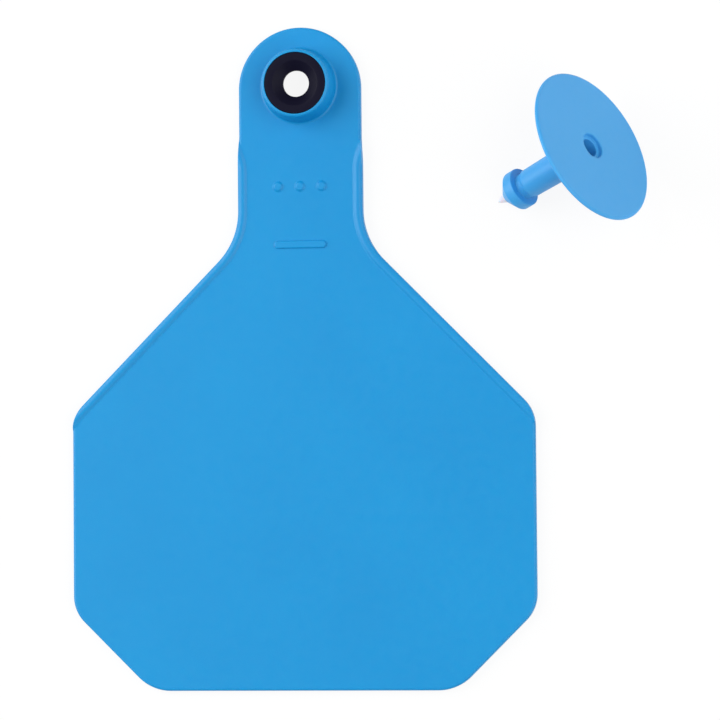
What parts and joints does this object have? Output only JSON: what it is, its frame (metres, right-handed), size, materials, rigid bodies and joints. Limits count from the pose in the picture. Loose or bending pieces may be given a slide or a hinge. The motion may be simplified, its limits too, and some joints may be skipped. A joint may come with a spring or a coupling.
{
  "type": "livestock ear tag",
  "caption": "Two-piece blue plastic livestock ear tag: a flat panel with a ringed collar boss on its neck, and the disc-and-stem stud that pins it, lying beside it.",
  "frame": {"origin": "centre of the stud's hole at the panel's back face, on the collar's axis", "axes": "+Z out of the panel's front face along the collar's axis, +Y towards the rounded head end, +X across the panel towards the stud that lies beside it"},
  "size_m": [0.0948, 0.108, 0.0223],
  "materials": {
    "tag_plastic": "satin moulded polyurethane, bright blue",
    "collar_plastic": "hard plastic, near black, slightly glossy",
    "stud_plastic": "satin moulded polyurethane, the same blue",
    "tip_plastic": "hard acetal, off-white"
  },
  "bodies": {
    "root": {"tag_panel": "tag_plastic", "collar_insert": "collar_plastic", "stud": "stud_plastic", "piercing_tip": "tip_plastic"}
  },
  "joints": []
}
